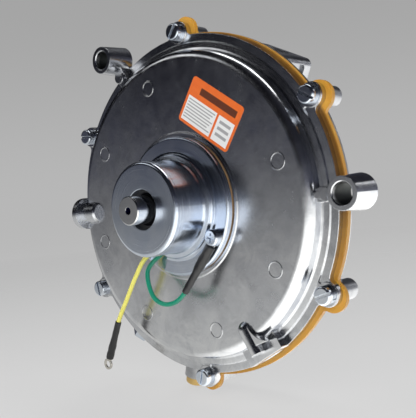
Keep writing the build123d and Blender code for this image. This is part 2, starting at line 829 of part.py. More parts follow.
def primer_front_plate():
    hole_r, step_r, step_s, back_s = 9.6, CAN_R - 1.45, -39.3, -38.9
    with BuildPart() as plate:
        with BuildSketch(Plane.XY):
            with BuildLine():
                Polyline(*section([
                    (hole_r, CAN_FRONT_S), (CAN_R, CAN_FRONT_S), (CAN_R, step_s),
                    (step_r, step_s), (step_r, back_s), (hole_r, back_s),
                ]), close=True)
            make_face()
            fillet(corners(CAN_R, CAN_FRONT_S), 1.7)
            chamfer(corners(hole_r, CAN_FRONT_S), 0.3)
        revolve(axis=Axis.Y)
    return plate.part


def coil_bobbin():
    bore_r, core_r, flange_r = 8.1, 9.2, 20.8
    return revolved([
        (bore_r, -38.8), (flange_r, -38.8), (flange_r, -37.6), (core_r, -37.6),
        (core_r, -22.9), (flange_r, -22.9), (flange_r, -21.7), (bore_r, -21.7),
    ])


def coil_winding():
    return revolved([(9.25, -37.5), (19.6, -37.5), (19.9, -30.2), (19.6, -23.0), (9.25, -23.0)])


def guide_tube():
    """Tube around the plunger, closed at the back but for the push pin's hole."""
    outer_r, pin_hole_r = 8.0, 1.97
    front_s, floor_s, back_s = -38.6, -11.2, -8.9
    return revolved([
        (GUIDE_BORE_R, front_s), (outer_r, front_s), (outer_r, back_s), (pin_hole_r, back_s),
        (pin_hole_r, floor_s), (GUIDE_BORE_R, floor_s),
    ])


def primer_stem_nut():
    return hex_nut(back_s=-9.3, corner_r=13.6, bore_r=8.03, height=3.5, edge_chamfer=0.5)


def primer_plunger():
    dimple_r, pin_bore_r, back_s, bore_front_s = 1.8, 1.93, -20.0, -26.0
    with BuildPart() as plunger:
        with BuildSketch(Plane.XY):
            with BuildLine():
                Polyline(*section([
                    (dimple_r, PLUNGER_FRONT_S), (PLUNGER_R, PLUNGER_FRONT_S),
                    (PLUNGER_R, back_s), (pin_bore_r, back_s), (pin_bore_r, bore_front_s),
                    (0, bore_front_s), (0, PLUNGER_FRONT_S + 6.0),
                    (dimple_r, PLUNGER_FRONT_S + 5.0),
                ]), close=True)
            make_face()
            chamfer(corners(PLUNGER_R, PLUNGER_FRONT_S), 0.45)
        revolve(axis=Axis.Y)
    return plunger.part


def push_pin():
    pin_r, groove_r, front_s, back_s = 1.91, 1.5, -25.98, -7.38
    return revolved([
        (0, front_s), (pin_r, front_s), (pin_r, -8.8), (groove_r, -8.8), (groove_r, -8.0),
        (pin_r, -8.0), (pin_r, -7.6), (1.6, back_s), (0, back_s),
    ])


def push_pin_clip():
    with BuildPart() as clip:
        with BuildSketch(across(-8.05)):
            Circle(3.8)
            Circle(1.53, mode=Mode.SUBTRACT)
            # opening at the bottom
            with Locations((0, -3.0)):
                Rectangle(2.2, 4.4, mode=Mode.SUBTRACT)
        extrude(amount=0.7)
    return clip.part


def plunger_return_spring():
    front = at(0, 0, -19.5)
    return coil_spring(pitch=1.75, height=7.75, radius=4.6, front=front, spring_wire_r=0.4)


# ---------------------------------------------------------------- leads, sleeves and terminals
# Wire paths up to the sleeve: radius, angle, depth.
YELLOW_PATH = [
    (21.6, -123.5, -19.75), (26.9, -127.0, -20.3), (33.4, -129.7, -23.6),
    (44.2, -128.3, -25.4), (58.0, -127.1, -26.0), (73.0, -126.6, -26.0),
]
GREEN_PATH = [
    (21.6, -115.0, -19.75), (26.5, -117.5, -20.2), (32.4, -122.5, -21.4),
    (36.9, -121.9, -23.6), (41.2, -116.2, -25.4), (46.3, -104.8, -28.0),
    (47.7, -94.8, -28.6), (46.2, -85.8, -27.9), (42.7, -78.9, -26.4),
]
SLEEVE_R = 1.75            # at the wire end

YELLOW_START = at(*YELLOW_PATH[-1])
YELLOW_EYE = at(99.3, -123.8, -26.0)
YELLOW_DIR = (YELLOW_EYE - YELLOW_START).normalized()

GREEN_START = at(*GREEN_PATH[-1])
GREEN_END = at(31.5, -43.0, -22.8)
GREEN_DIR = (GREEN_END - GREEN_START).normalized()
GREEN_LEN = (GREEN_END - GREEN_START).length


def lead(stations, straight_end):
    """Round wire through the given stations, the last stretch straight to straight_end."""
    points = [at(*station) for station in stations]
    start_dir = (points[1] - points[0]).normalized()
    end_dir = (straight_end - points[-1]).normalized()
    with BuildPart() as wire:
        with BuildLine():
            curve = Spline(*points, tangents=[start_dir, end_dir])
            Line(curve @ 1, straight_end)
        with BuildSketch(Plane(origin=curve @ 0, z_dir=curve % 0)):
            Circle(WIRE_R)
        sweep()
    return wire.part


def sleeve(start, direction, length, end_r, barrel_from, barrel_r):
    """Shrunk sleeve: fits the wire first, then widens over the terminal's barrel."""
    with BuildPart() as tube:
        with BuildSketch(Plane(origin=start, z_dir=direction)):
            Circle(SLEEVE_R)
        with BuildSketch(Plane(origin=start + direction * length, z_dir=direction)):
            Circle(end_r)
        loft()
        with BuildSketch(Plane(origin=start - direction, z_dir=direction)):
            Circle(WIRE_R + 0.03)
        extrude(amount=barrel_from + 1.0, mode=Mode.SUBTRACT)
        with BuildSketch(Plane(origin=start + direction * barrel_from, z_dir=direction)):
            Circle(barrel_r)
        extrude(amount=length, mode=Mode.SUBTRACT)
    return tube.part


def yellow_lead():
    return lead(YELLOW_PATH, YELLOW_START + YELLOW_DIR * 15.0)


def yellow_lead_sleeve():
    return sleeve(
        YELLOW_START, YELLOW_DIR, length=23.0, end_r=2.05, barrel_from=15.2, barrel_r=1.52
    )


def yellow_ring_terminal():
    with BuildPart() as terminal:
        # barrel
        with BuildSketch(Plane(origin=YELLOW_START + YELLOW_DIR * 15.3, z_dir=YELLOW_DIR)):
            Circle(1.48)
        extrude(amount=8.3)
        # flat ring and its neck
        ring_origin = YELLOW_EYE + Vector(0, 0.4, 0)
        with BuildSketch(Plane(origin=ring_origin, x_dir=YELLOW_DIR, z_dir=(0, -1, 0))):
            Circle(3.0)
            with Locations((-3.0, 0)):
                Rectangle(2.2, 2.6)
            Circle(1.8, mode=Mode.SUBTRACT)
        extrude(amount=0.8)
    return terminal.part


def green_lead():
    return lead(GREEN_PATH, GREEN_START + GREEN_DIR * (GREEN_LEN - 8.4))


def green_lead_sleeve():
    return sleeve(
        GREEN_START, GREEN_DIR, GREEN_LEN, end_r=2.2, barrel_from=GREEN_LEN - 8.2, barrel_r=1.54
    )


def green_ring_terminal():
    ground = at(GROUND_R, GROUND_ANGLE, 0)
    tongue_dir = Vector(ground.X - GREEN_END.X, 0, ground.Z - GREEN_END.Z).normalized()
    with BuildPart() as terminal:
        # barrel
        with BuildSketch(Plane(origin=GREEN_END - GREEN_DIR * 8.0, z_dir=GREEN_DIR)):
            Circle(1.5)
        extrude(amount=8.5)
        # tongue bent down onto the base: distance towards the screw, depth
        side = Plane(
            origin=(GREEN_END.X, CLAMP_Y, GREEN_END.Z),
            x_dir=tongue_dir,
            z_dir=(-tongue_dir.Z, 0, tongue_dir.X),
        )
        with BuildSketch(side.offset(-1.3)):
            with BuildLine():
                Polyline(
                    (-1.0, -22.3), (-1.0, -23.2), (0.9, -23.0), (3.0, -20.7), (5.0, -20.7),
                    (5.0, GROUND_LUG_BACK_S), (2.6, GROUND_LUG_BACK_S), (0.6, -22.1), close=True,
                )
            make_face()
        extrude(amount=2.6)
        # flat ring, then its hole
        ring_origin = at(GROUND_R, GROUND_ANGLE, GROUND_LUG_BACK_S)
        with BuildSketch(Plane(origin=ring_origin, x_dir=tongue_dir, z_dir=(0, -1, 0))):
            Circle(3.4)
        extrude(amount=0.78)
        hole_origin = at(GROUND_R, GROUND_ANGLE, -18.0)
        with BuildSketch(Plane(origin=hole_origin, x_dir=tongue_dir, z_dir=(0, -1, 0))):
            Circle(1.75)
        extrude(amount=4.0, mode=Mode.SUBTRACT)
    return terminal.part


def ground_washer():
    with BuildPart() as washer:
        with BuildSketch(turned(-20.72, GROUND_ANGLE, GROUND_R)):
            Circle(3.45)
            Circle(1.65, mode=Mode.SUBTRACT)
            # notches around the edge
            with PolarLocations(3.3, 12):
                Rectangle(1.2, 0.45, mode=Mode.SUBTRACT)
        extrude(amount=0.6)
    return washer.part


def ground_screw():
    with BuildPart() as screw:
        # head
        with BuildSketch(turned(-21.34, GROUND_ANGLE, GROUND_R)):
            Circle(4.0)
        extrude(amount=3.8)
        fillet(edges().filter_by(GeomType.CIRCLE).sort_by(Axis.Y)[0], 1.1)
        # shank
        with BuildSketch(turned(-16.8, GROUND_ANGLE, GROUND_R)):
            Circle(1.48)
        extrude(amount=4.6)
        # cross recess
        with BuildSketch(turned(-23.7, GROUND_ANGLE, GROUND_R)):
            Rectangle(4.6, 1.0, rotation=20)
            Rectangle(4.6, 1.0, rotation=110)
        extrude(amount=3.0, mode=Mode.SUBTRACT)
    return screw.part


# ---------------------------------------------------------------- sticker, plugs and vent screen
def label_sticker():
    with BuildPart() as sticker:
        with BuildSketch(across(COVER_FACE_S - 0.01)):
            with Locations((24.75, 42.9)):
                RectangleRounded(35.7, 23.5, 1.8, rotation=-35)
        extrude(amount=0.15)
    return sticker.part


def port_plug(angle, face_r, hex_head, head_fillet):
    """Plug with a round or hexagonal head and a hexagonal socket."""
    with BuildPart() as plug:
        with BuildSketch(radial(face_r - 10.0, angle, PLUG_S)):
            Circle(4.28)
        extrude(amount=10.2)
        with BuildSketch(radial(face_r + 0.02, angle, PLUG_S)):
            if hex_head:
                RegularPolygon(6.2, 6)
            else:
                Circle(5.6)
        extrude(amount=4.4)
        fillet(faces().sort_by(SortBy.DISTANCE)[-1].edges(), head_fillet)
        with BuildSketch(radial(face_r + 2.0, angle, PLUG_S)):
            RegularPolygon(2.75, 6)
        extrude(amount=4.0, mode=Mode.SUBTRACT)
    return plug.part


def drain_plug():
    return port_plug(*DRAIN, hex_head=False, head_fillet=1.2)


def test_plug():
    return port_plug(*TEST, hex_head=True, head_fillet=0.5)


def vent_screen():
    with BuildPart() as screen:
        with BuildSketch(radial(72.0, VENT_ANGLE, VENT_S)):
            Circle(3.38)
            with GridLocations(1.3, 1.3, 3, 3):
                Rectangle(0.9, 0.9, mode=Mode.SUBTRACT)
        extrude(amount=0.5)
    return screen.part


# ---------------------------------------------------------------- export
# Each piece's file is named after the function that builds it.
for build in (
    front_cover, rear_body,
    diaphragm, diaphragm_plate_front, diaphragm_plate_rear, diaphragm_stud, diaphragm_stud_nut,
    inlet_seat, valve_lever, lever_pivot_pin, lever_bracket, bracket_screws,
    valve_pad_holder, valve_pad,
    lever_spring, spring_seat, adjusting_screw, adjuster_cap_washer, adjuster_cap,
    cover_screws, lock_washers,
    primer_gasket, primer_base, primer_can, primer_front_plate, coil_bobbin, coil_winding,
    guide_tube, primer_stem_nut, primer_plunger, push_pin, push_pin_clip, plunger_return_spring,
    yellow_lead, yellow_lead_sleeve, yellow_ring_terminal,
    green_lead, green_lead_sleeve, green_ring_terminal, ground_washer, ground_screw,
    label_sticker, drain_plug, test_plug, vent_screen,
):
    part = build()
    part.label = build.__name__
    export_step(part, f"parts/{part.label}.step")
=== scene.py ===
import json
import math
from functools import reduce

import bpy
import numpy as np
from mathutils import Matrix, Vector


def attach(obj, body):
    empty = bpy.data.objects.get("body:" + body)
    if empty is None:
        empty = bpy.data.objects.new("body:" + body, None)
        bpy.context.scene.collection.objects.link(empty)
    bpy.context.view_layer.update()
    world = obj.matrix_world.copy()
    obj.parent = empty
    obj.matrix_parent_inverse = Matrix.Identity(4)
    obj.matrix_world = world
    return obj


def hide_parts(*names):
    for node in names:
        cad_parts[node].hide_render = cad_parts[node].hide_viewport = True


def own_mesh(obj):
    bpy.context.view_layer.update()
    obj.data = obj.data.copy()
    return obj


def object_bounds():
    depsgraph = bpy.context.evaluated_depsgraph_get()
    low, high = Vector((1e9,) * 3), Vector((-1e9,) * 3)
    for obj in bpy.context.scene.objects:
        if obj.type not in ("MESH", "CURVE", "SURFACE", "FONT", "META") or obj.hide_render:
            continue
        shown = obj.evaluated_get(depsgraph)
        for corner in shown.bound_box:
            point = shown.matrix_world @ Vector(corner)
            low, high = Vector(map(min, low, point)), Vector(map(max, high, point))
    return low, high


CLAMP_Y = -0.040  # the diaphragm's clamping plane


def measured_bounds():
    return [[float(value) for value in corner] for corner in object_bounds()]


def at(radius, angle, depth):
    """Point round the main axis: millimetres and degrees, depth counted from CLAMP_Y towards +y."""
    turn = math.radians(angle)
    x, z = radius * math.cos(turn) / 1000, radius * math.sin(turn) / 1000
    return Vector((x, CLAMP_Y + depth / 1000, z))


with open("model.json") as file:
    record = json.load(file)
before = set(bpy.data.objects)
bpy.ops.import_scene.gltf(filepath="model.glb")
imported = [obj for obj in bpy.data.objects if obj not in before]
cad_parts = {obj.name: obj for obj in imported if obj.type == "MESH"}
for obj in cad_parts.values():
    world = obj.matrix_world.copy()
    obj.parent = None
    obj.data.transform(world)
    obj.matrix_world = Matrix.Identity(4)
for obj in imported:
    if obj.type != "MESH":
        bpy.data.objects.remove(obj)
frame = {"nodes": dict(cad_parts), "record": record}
cad_bounds = measured_bounds()
nodes = frame["nodes"]
slot_of = {row["node"]: row["material_slot"] for row in frame["record"]["subparts"]}


# ------------------------------------------------------------------ node graphs
class Graph:
    """Short calls for building shader nodes; any input may be a value or another node's socket."""

    def __init__(self, tree, coordinates="Object"):
        self.tree = tree
        self.coord = self.node("ShaderNodeTexCoord").outputs[coordinates]

    def node(self, kind, **settings):
        node = self.tree.nodes.new(kind)
        for key, value in settings.items():
            setattr(node, key, value)
        return node

    def put(self, value, socket):
        if isinstance(value, bpy.types.NodeSocket):
            self.tree.links.new(value, socket)
        elif isinstance(value, tuple):
            # a colour socket takes a fourth value, alpha; a vector socket takes three
            socket.default_value = (*value, 1.0)[: len(socket.default_value)]
        else:
            socket.default_value = value

    def math(self, operation, *values, clamp=False):
        node = self.node("ShaderNodeMath", operation=operation, use_clamp=clamp)
        for value, socket in zip(values, node.inputs):
            self.put(value, socket)
        return node.outputs[0]

    def add(self, first, second):
        return self.math("ADD", first, second)

    def subtract(self, first, second):
        return self.math("SUBTRACT", first, second)

    def multiply(self, first, second):
        return self.math("MULTIPLY", first, second)

    def union(self, zones):
        return reduce(lambda first, second: self.math("MAXIMUM", first, second), zones)

    def distance(self, across, along):
        """Length of the flat vector (across, along)."""
        squares = self.add(self.multiply(across, across), self.multiply(along, along))
        return self.math("SQRT", squares)

    def jitter(self, base, noise, spread):
        """Base value shifted up and down by a noise centred on 0.5."""
        return self.add(base, self.multiply(self.subtract(noise, 0.5), spread))

    def rise(self, value, start=0.3, end=0.7, low=0.0, high=1.0):
        """Clamped ramp from low to high; the default span is the busy middle of a noise."""
        node = self.node("ShaderNodeMapRange", clamp=True)
        spans = {"Value": value, "From Min": start, "From Max": end, "To Min": low, "To Max": high}
        for key, setting in spans.items():
            self.put(setting, node.inputs[key])
        return node.outputs[0]

    def fall(self, value, start, end):
        return self.rise(value, start, end, low=1.0, high=0.0)

    def xyz(self, vector=None):
        node = self.node("ShaderNodeSeparateXYZ")
        self.put(vector or self.coord, node.inputs[0])
        return tuple(node.outputs)

    def noise(self, scale=1.0, detail=3.0, roughness=0.6, distortion=0.0, vector=None):
        node = self.node("ShaderNodeTexNoise")
        self.put(vector or self.coord, node.inputs["Vector"])
        node.inputs["Scale"].default_value = scale
        node.inputs["Detail"].default_value = detail
        node.inputs["Roughness"].default_value = roughness
        node.inputs["Distortion"].default_value = distortion
        return node.outputs[0]

    def cells(self, scale):
        """Distance to the nearest of many scattered points."""
        node = self.node("ShaderNodeTexVoronoi")
        self.put(self.coord, node.inputs["Vector"])
        node.inputs["Scale"].default_value = scale
        return node.outputs["Distance"]

    def rings(self, radius_scale, axis_scale, angle_scale):
        """A vector that varies mostly with radius and depth, so marks run round the main axis."""
        x, y, z = self.xyz()
        node = self.node("ShaderNodeCombineXYZ")
        parts = (
            self.multiply(self.distance(x, z), radius_scale),
            self.multiply(y, axis_scale),
            self.multiply(self.math("ARCTAN2", z, x), angle_scale),
        )
        for part, socket in zip(parts, node.inputs):
            self.put(part, socket)
        return node.outputs[0]

    def mix(self, factor, first, second, blend="MIX"):
        node = self.node("ShaderNodeMix", data_type="RGBA", blend_type=blend)
        # inputs 6 and 7 are the two colours, output 2 the mixed one
        for value, index in ((factor, 0), (first, 6), (second, 7)):
            self.put(value, node.inputs[index])
        return node.outputs[2]

    def tones(self, value, stops, tint=(1.0, 1.0, 1.0), tint_from=2.0):
        """Eased ramp through (position, grey) stops from 0 to 1, tinted from a position on."""
        node = self.node("ShaderNodeValToRGB")
        node.color_ramp.interpolation = "EASE"
        elements = node.color_ramp.elements
        for position, _ in stops[1:-1]:
            elements.new(position)
        for element, (position, tone) in zip(elements, stops):
            channels = tint if position >= tint_from else (1.0, 1.0, 1.0)
            element.color = (*(tone * channel for channel in channels), 1)
        self.put(value, node.inputs[0])
        return node.outputs[0]

    def bump(self, height, distance, strength, normal=None):
        node = self.node("ShaderNodeBump")
        node.inputs["Strength"].default_value = strength
        node.inputs["Distance"].default_value = distance
        self.put(height, node.inputs["Height"])
        if normal is not None:
            self.put(normal, node.inputs["Normal"])
        return node.outputs[0]

    def bevel(self, radius):
        node = self.node("ShaderNodeBevel", samples=4)
        node.inputs["Radius"].default_value = radius
        return node.outputs[0]


class Surface(Graph):
    """The graph round a material's Principled shader."""

    def __init__(self, material):
        super().__init__(material.node_tree)
        self.material = material
        by_type = {node.type: node for node in self.tree.nodes}
        self.output = by_type["OUTPUT_MATERIAL"]
        self.bsdf = by_type["BSDF_PRINCIPLED"]

    def set(self, **inputs):
        for key, value in inputs.items():
            self.put(value, self.bsdf.inputs[key.replace("_", " ")])

    def current(self, key):
        return self.bsdf.inputs[key].links[0].from_socket

    def stain(self, zone, tone):
        """Lay a colour over the present one wherever the zone is 1."""
        self.set(Base_Color=self.mix(zone, self.current("Base Color"), tone))


def new_surface(name):
    material = bpy.data.materials.new(name)
    material.use_nodes = True
    tree = material.node_tree
    tree.nodes.clear()
    output = tree.nodes.new("ShaderNodeOutputMaterial")
    bsdf = tree.nodes.new("ShaderNodeBsdfPrincipled")
    tree.links.new(bsdf.outputs[0], output.inputs[0])
    return Surface(material)


def scaled(color, factor):
    return tuple(factor * channel for channel in color)


# ------------------------------------------------------------------ materials
def cast_metal(name, light, dark, rough_low, rough_high, peel=0.00006):
    """Bright burnished die casting: cloudy sheen, darker blots, shallow orange peel, fine pits."""
    g = new_surface(name)
    cloud = g.noise(scale=38.0, detail=4.0, distortion=0.6)
    fine = g.noise(scale=900.0)
    mid = g.noise(scale=150.0, detail=4.0, roughness=0.55)
    pits = g.rise(g.cells(scale=1400.0), start=0.0, end=0.22)
    blot_noise = g.noise(scale=75.0, detail=5.0, roughness=0.68, distortion=1.0)
    blot = g.rise(blot_noise, start=0.45, end=0.68)
    sheen = g.add(g.multiply(cloud, 0.6), g.multiply(mid, 0.4))
    rough = g.rise(sheen, start=0.32, end=0.68, low=rough_low, high=rough_high)
    normal = g.bevel(radius=0.0005)
    normal = g.bump(mid, distance=peel, strength=0.6, normal=normal)
    normal = g.bump(fine, distance=0.000012, strength=0.5, normal=normal)
    normal = g.bump(pits, distance=0.00001, strength=0.4, normal=normal)
    g.set(
        Base_Color=g.mix(g.multiply(blot, 0.55), g.mix(g.rise(cloud), light, dark), scaled(dark, 0.78)),
        Metallic=1.0,
        Roughness=g.jitter(rough, fine, spread=0.08),
        Normal=normal,
    )
    return g.material


def plated_metal(name, color, tint, rough, edge=0.00035, turned=False, line=0.000006, spread=0.08):
    """Plated metal drifting between two tints; turned parts carry circular marks of depth line."""
    g = new_surface(name)
    drift = g.rise(g.noise(scale=55.0), start=0.35, end=0.65)
    fine = g.noise(scale=1300.0)
    normal = g.bevel(radius=edge)
    if turned:
        fine_rings = g.rings(radius_scale=3800.0, axis_scale=3800.0, angle_scale=0.7)
        wide_rings = g.rings(radius_scale=500.0, axis_scale=420.0, angle_scale=0.5)
        marks = g.noise(detail=4.0, roughness=0.65, vector=fine_rings)
        wide = g.noise(detail=2.0, roughness=0.5, vector=wide_rings)
        rough = g.jitter(g.jitter(rough, marks, spread * 1.6), wide, spread * 1.2)
        normal = g.bump(marks, distance=line, strength=0.55, normal=normal)
        normal = g.bump(wide, distance=line * 4, strength=0.45, normal=normal)
        g.set(Anisotropic=0.35)
    else:
        scuff = g.noise(scale=260.0, detail=4.0, distortion=0.8)
        rough = g.jitter(rough, scuff, spread * 2)
        normal = g.bump(scuff, distance=0.00002, strength=0.4, normal=normal)
    g.set(
        Base_Color=g.mix(drift, color, tint),
        Metallic=1.0,
        Roughness=rough,
        Normal=g.bump(fine, distance=0.000005, strength=0.4, normal=normal),
    )
    return g.material


def rubber(name, color, shade, rough, speck=0.0, soft=0.0, peel=0.00004):
    """Cloudy, grainy rubber or plastic; speck adds dark flecks, soft lets light into it."""
    g = new_surface(name)
    cloud = g.noise(scale=60.0, detail=4.0)
    grain = g.noise(scale=1100.0)
    fleck = g.fall(g.cells(scale=620.0), start=0.0, end=0.16)
    base = g.mix(g.rise(cloud), color, shade)
    normal = g.bevel(radius=0.0004)
    normal = g.bump(cloud, distance=peel * 3, strength=0.4, normal=normal)
    normal = g.bump(grain, distance=peel * 0.5, strength=0.5, normal=normal)
    g.set(
        Base_Color=g.mix(g.multiply(fleck, speck), base, scaled(shade, 0.5)),
        Roughness=g.jitter(rough, grain, spread=0.2),
        Normal=normal,
    )
    if soft:
        g.set(
            Subsurface_Weight=soft,
            Subsurface_Radius=(0.9, 0.45, 0.12),
            Subsurface_Scale=0.0015,
        )
    return g.material


def jacket(name, color, shade):
    """Wire jacket: glossy, finely grained, with handling dirt."""
    g = new_surface(name)
    dirt_noise = g.noise(scale=130.0, detail=5.0, roughness=0.65, distortion=1.2)
    dirt = g.rise(dirt_noise, start=0.5, end=0.8)
    fine = g.noise(scale=700.0)
    g.set(
        Base_Color=g.mix(g.multiply(dirt, 0.35), color, shade),
        Roughness=g.jitter(0.32, fine, spread=0.22),
        Normal=g.bump(fine, distance=0.000008, strength=0.3),
        Coat_Weight=0.15,
        Coat_Roughness=0.2,
    )
    return g.material


def copper(name):
    """Coil: turns of enamelled wire side by side along the main axis."""
    turn_pitch = 0.00035
    g = new_surface(name)
    _, y, _ = g.xyz()
    turns = g.math("SINE", g.multiply(y, 2 * math.pi / turn_pitch))
    coil_rings = g.rings(radius_scale=900.0, axis_scale=900.0, angle_scale=2.0)
    tone = g.noise(detail=2.0, roughness=0.5, vector=coil_rings)
    g.set(
        Base_Color=g.mix(tone, (0.50, 0.16, 0.05), (0.70, 0.30, 0.12)),
        Metallic=0.9,
        Roughness=0.28,
        Normal=g.bump(turns, distance=0.00008, strength=0.8),
    )
    return g.material


def fibre(name):
    g = new_surface(name)
    strands = g.noise(scale=420.0, detail=5.0, roughness=0.7, distortion=2.0)
    tone = g.rise(strands, start=0.35, end=0.65)
    g.set(
        Base_Color=g.mix(tone, (0.30, 0.17, 0.07), (0.42, 0.26, 0.12)),
        Roughness=0.75,
        Normal=g.bump(strands, distance=0.00008, strength=0.5),
    )
    return g.material


def sticker(name):
    """Plain film sticker: orange field, two pale panels ruled with grey bars, one dark bar above."""
    centre_x, centre_z, tilt = 0.02475, 0.0429, math.radians(-35)
    g = new_surface(name)
    x, _, z = g.xyz()
    from_x, from_z = g.subtract(x, centre_x), g.subtract(z, centre_z)
    # position along and across the tilted sticker
    along = g.add(g.multiply(from_x, math.cos(tilt)), g.multiply(from_z, math.sin(tilt)))
    across = g.subtract(g.multiply(from_z, math.cos(tilt)), g.multiply(from_x, math.sin(tilt)))

    def band(value, low, high, soft):
        start = g.rise(value, low - soft, low + soft)
        return g.multiply(start, g.fall(value, high - soft, high + soft))

    def box(left, right, bottom, top, soft=0.00006):
        """1 inside a rectangle of the sticker, with a soft edge."""
        return g.multiply(band(along, left, right, soft), band(across, bottom, top, soft))

    film = g.mix(g.rise(g.noise(scale=300.0)), (0.86, 0.165, 0.018), (0.80, 0.140, 0.015))
    panels = g.union([box(-0.0164, 0.0042, -0.0103, 0.0022), box(0.0056, 0.0164, -0.0103, 0.0022)])
    bars = []
    for row in range(7):  # thin bars of three lengths in turn
        top = 0.0010 - row * 0.00152
        bars.append(box(-0.0156, 0.0034 - (row % 3) * 0.0011, top - 0.00062, top))
    for row in range(3):  # thick bars
        top = 0.0002 - row * 0.0031
        bars.append(box(0.0072, 0.0148, top - 0.0015, top))
    head = box(-0.0105, 0.0150, 0.0049, 0.0084, soft=0.0001)

    color = g.mix(panels, film, (0.86, 0.86, 0.85))
    color = g.mix(g.multiply(g.union(bars), 0.62), color, (0.10, 0.10, 0.11))
    color = g.mix(g.multiply(head, 0.88), color, (0.030, 0.016, 0.012))
    ripple = g.noise(scale=160.0, detail=2.0, roughness=0.5)
    g.set(
        Base_Color=color,
        Roughness=g.rise(g.noise(scale=500.0), low=0.34, high=0.46),
        Normal=g.bump(ripple, distance=0.00004, strength=0.3),
        Coat_Weight=0.3,
        Coat_Roughness=0.25,
    )
    return g.material


def paint_hole_shade(material, radius, start_y, tone):
    """Painted shade in a dull hole on the main axis, behind start_y."""
    inner = -0.001  # below zero, so that the zone reaches the axis
    soft = 0.00004
    g = Surface(material)
    x, y, z = g.xyz()
    reach = g.distance(x, z)
    ring = g.multiply(g.rise(reach, inner - soft, inner), g.fall(reach, radius, radius + soft))
    zone = g.multiply(ring, g.rise(y, start_y, start_y + 0.0003))
    # painted shade: the hole's inside takes the given dark tone
    g.stain(zone, tone)
    kept = g.multiply(g.current("Roughness"), g.subtract(1.0, zone))
    g.set(Roughness=g.add(kept, g.multiply(zone, 0.55)))


def paint_ledge_shade(material):
    """Painted shade on the rubber's narrow front ledge beside the flange, weaker towards the bottom;
    its outer side stays bright.
    """
    g = Surface(material)
    x, y, z = g.xyz()
    reach = g.distance(g.subtract(x, 0.0014), g.add(z, 0.0004))
    face = g.fall(y, CLAMP_Y - 0.0031, CLAMP_Y - 0.0027)
    inside = g.fall(reach, start=0.0860, end=0.0876)
    patches = g.rise(g.noise(scale=90.0), low=0.75, high=1.0)
    weaker_below = g.rise(z, start=-0.050, end=0.0, low=0.22, high=1.0)
    zone = g.multiply(g.multiply(face, inside), g.multiply(patches, weaker_below))
    # painted shade: dark brown laid on the ledge where the flange shades it
    g.stain(zone, (0.13, 0.055, 0.012))


def paint_bore_shade(material):
    """Painted shade inside two unmachined cast bores behind their mouths, which are also made duller.
    """
    pitch_radius, bore_radius, mouth_y = 0.095, 0.00486, CLAMP_Y - 0.0182
    g = Surface(material)
    x, y, z = g.xyz()
    zones = []
    for angle in (0.0, 120.0):
        turn = math.radians(angle)
        from_x = g.subtract(x, pitch_radius * math.cos(turn))
        from_z = g.subtract(z, pitch_radius * math.sin(turn))
        bore = g.fall(g.distance(from_x, from_z), bore_radius, bore_radius + 0.00006)
        zones.append(g.multiply(bore, g.rise(y, mouth_y, mouth_y + 0.0025)))
    zone = g.union(zones)
    # painted shade: near-black grey inside the bores
    g.stain(zone, (0.045, 0.05, 0.05))
    g.set(Roughness=g.add(g.current("Roughness"), g.multiply(zone, 0.3)))


def metal(color, tint, rough, **more):
    return plated_metal, dict(color=color, tint=tint, rough=rough, **more)


def soft_stuff(color, shade, rough, **more):
    return rubber, dict(color=color, shade=shade, rough=rough, **more)


# material slot: (maker, settings); metal() and soft_stuff() take two colours and a roughness
LOOKS = {
    "die_cast": (cast_metal, dict(
        light=(0.70, 0.71, 0.73), dark=(0.54, 0.555, 0.59), rough_low=0.15, rough_high=0.29)),
    "amber_rubber": soft_stuff(
        (0.76, 0.40, 0.055), (0.62, 0.29, 0.032), 0.40, speck=0.35, soft=0.25),
    "plate_zinc": metal((0.62, 0.64, 0.67), (0.55, 0.58, 0.63), 0.30),
    "stud_alu": metal((0.68, 0.69, 0.71), (0.60, 0.61, 0.63), 0.28, turned=True),
    "zinc_plate": metal((0.70, 0.74, 0.80), (0.56, 0.62, 0.72), 0.20, edge=0.0003, spread=0.07),
    "spring_steel": metal((0.42, 0.42, 0.43), (0.34, 0.34, 0.35), 0.30),
    "brass": metal((0.72, 0.50, 0.20), (0.62, 0.41, 0.15), 0.28),
    "black_rubber": soft_stuff((0.016, 0.016, 0.017), (0.024, 0.024, 0.025), 0.55),
    "fibre": (fibre, {}),
    "primer_zinc": metal(
        (0.64, 0.69, 0.77), (0.52, 0.58, 0.69), 0.225,
        edge=0.0004, turned=True, spread=0.13, line=0.000011),
    "bobbin_plastic": soft_stuff((0.02, 0.02, 0.022), (0.03, 0.03, 0.032), 0.40, peel=0.00002),
    "copper_wire": (copper, {}),
    "plunger_steel": metal(
        (0.68, 0.69, 0.70), (0.60, 0.61, 0.63), 0.16, edge=0.0003, turned=True, spread=0.05),
    "yellow_jacket": (jacket, dict(color=(1.0, 0.93, 0.20), shade=(0.88, 0.74, 0.12))),
    "green_jacket": (jacket, dict(color=(0.003, 0.290, 0.170), shade=(0.003, 0.190, 0.115))),
    "black_sleeve": soft_stuff((0.012, 0.012, 0.014), (0.022, 0.022, 0.024), 0.36, peel=0.00008),
    "tinned": metal((0.72, 0.70, 0.66), (0.60, 0.58, 0.54), 0.26),
    "sticker": (sticker, {}),
}
MATERIALS = {name: maker(name, **settings) for name, (maker, settings) in LOOKS.items()}
# painted shade on the amber rubber's front ledge
paint_ledge_shade(MATERIALS["amber_rubber"])
# painted shade, dark navy, inside the plunger's front hole
paint_hole_shade(
    MATERIALS["plunger_steel"], radius=0.00183, start_y=CLAMP_Y - 0.0506, tone=(0.02, 0.03, 0.16)
)
# painted shade inside the two post bores
paint_bore_shade(MATERIALS["die_cast"])

# pieces whose look differs from the rest of their slot
tube_brass = plated_metal(
    "brass_tube", color=(0.30, 0.22, 0.11), tint=(0.20, 0.15, 0.08), rough=0.38
)
